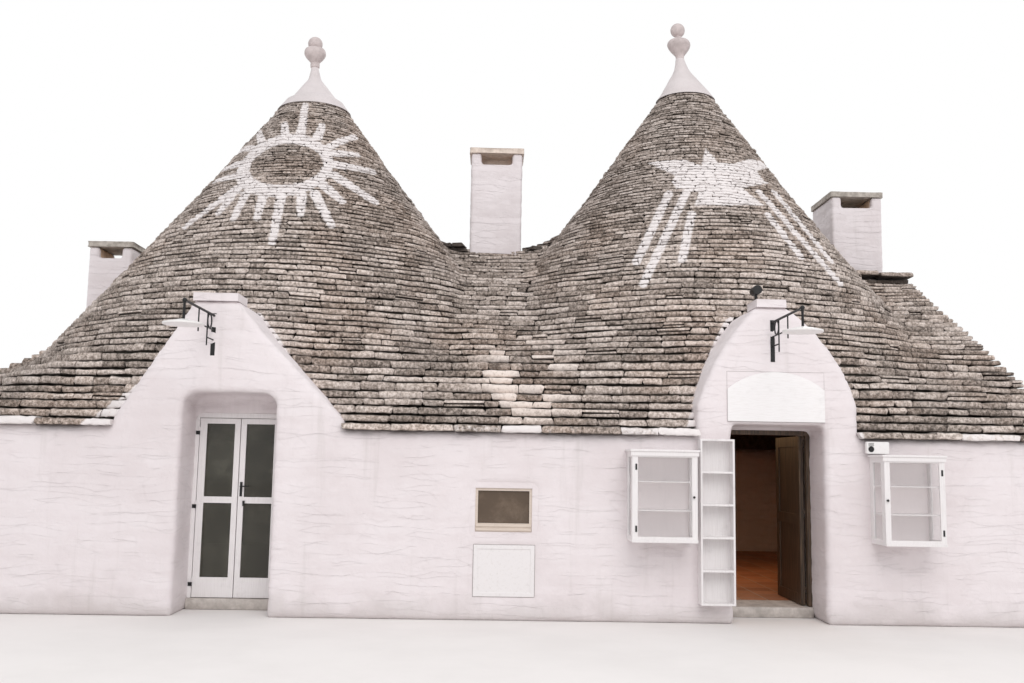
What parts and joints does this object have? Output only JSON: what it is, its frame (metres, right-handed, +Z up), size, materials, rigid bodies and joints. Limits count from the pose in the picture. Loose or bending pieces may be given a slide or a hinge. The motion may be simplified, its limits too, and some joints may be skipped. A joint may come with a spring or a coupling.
{
  "type": "trullo house",
  "caption": "Whitewashed dry-stone trullo house: joined cells under cone roofs of stone slabs, gabled doorways, chimneys, carved pinnacles, glazed double door and shop door.",
  "frame": {"origin": "centre of the base of the whole part's box, on the ground", "axes": "+X along the street to the viewer's right, +Y from the street face inward, +Z up"},
  "size_m": [12, 9.507, 8.166],
  "materials": {
    "whitewashed_wall": "limewashed stone",
    "roof_stone": "dry-laid grey limestone slabs",
    "dome_stone": "corbelled limestone, limewashed",
    "floor_tile": "terracotta tiles",
    "step_stone": "worn limestone",
    "plaster": "limewashed carved stone",
    "chimney_wash": "limewashed masonry",
    "white_paint": "white painted wood",
    "clear_glass": "clear",
    "dark_wood": "dark stained wood",
    "black_iron": "matt black",
    "white_enamel": "white enamel",
    "beige_paint": "beige painted wood",
    "hatch_paint": "white painted sheet",
    "board_white": "white painted board",
    "case_paint": "white painted wood"
  },
  "bodies": {
    "root": {"front_wall_left": "whitewashed_wall", "front_wall_middle": "whitewashed_wall", "front_wall_right": "whitewashed_wall", "party_wall_left": "whitewashed_wall", "party_wall_right": "whitewashed_wall", "back_wall_left": "whitewashed_wall", "back_wall_right": "whitewashed_wall", "middle_wall": "whitewashed_wall", "left_gable": "whitewashed_wall", "right_gable": "whitewashed_wall", "left_gable_cap": "whitewashed_wall", "right_gable_cap": "whitewashed_wall", "left_cone_roof": "roof_stone", "right_cone_roof": "roof_stone", "front_eave_left": "roof_stone", "front_eave_middle": "roof_stone", "front_eave_right": "roof_stone", "back_eave": "roof_stone", "left_dome": "dome_stone", "right_dome": "dome_stone", "floor": "floor_tile", "left_door_step": "step_stone", "right_door_step": "step_stone", "left_plaster_cone": "plaster", "right_plaster_cone": "plaster", "left_finial": "plaster", "right_finial": "plaster", "left_chimney": "chimney_wash", "left_chimney_cap": "chimney_wash", "middle_chimney": "chimney_wash", "middle_chimney_cap": "chimney_wash", "right_chimney": "chimney_wash", "right_chimney_cap": "chimney_wash", "left_door_frame": "white_paint", "window_glass": "clear_glass", "left_case_glass": "clear_glass", "right_case_glass": "clear_glass", "shop_door_frame": "dark_wood", "left_door_hinges": "black_iron", "shop_door_hinges": "black_iron", "left_lamp_bracket": "black_iron", "right_lamp_bracket": "black_iron", "spotlight": "black_iron", "left_lamp_shade": "white_enamel", "right_lamp_shade": "white_enamel", "security_light": "white_enamel", "window_frame": "beige_paint", "hatch": "hatch_paint", "sign_board": "board_white", "left_case": "case_paint", "right_case": "case_paint", "shelf_rack": "case_paint"},
    "leaf_left": {"door_leaf_left": "white_paint", "door_glass_left": "clear_glass"},
    "leaf_right": {"door_leaf_right": "white_paint", "door_glass_right": "clear_glass", "door_handle": "black_iron"},
    "shop_leaf": {"shop_door_leaf": "dark_wood"}
  },
  "joints": [
    {"name": "door_left_hinge", "type": "hinge", "parent": "root", "child": "leaf_left", "pos_m": [-3.167, -3.0535, 1], "axis": [0, 0, -1], "range_deg": [0, 90]},
    {"name": "door_right_hinge", "type": "hinge", "parent": "root", "child": "leaf_right", "pos_m": [-2.303, -3.0535, 1], "axis": [0, 0, 1], "range_deg": [0, 90]},
    {"name": "shop_door_hinge", "type": "hinge", "parent": "root", "child": "shop_leaf", "pos_m": [3.29, -2.9995, 1], "axis": [0, 0, 1], "range_deg": [0, 90]}
  ]
}
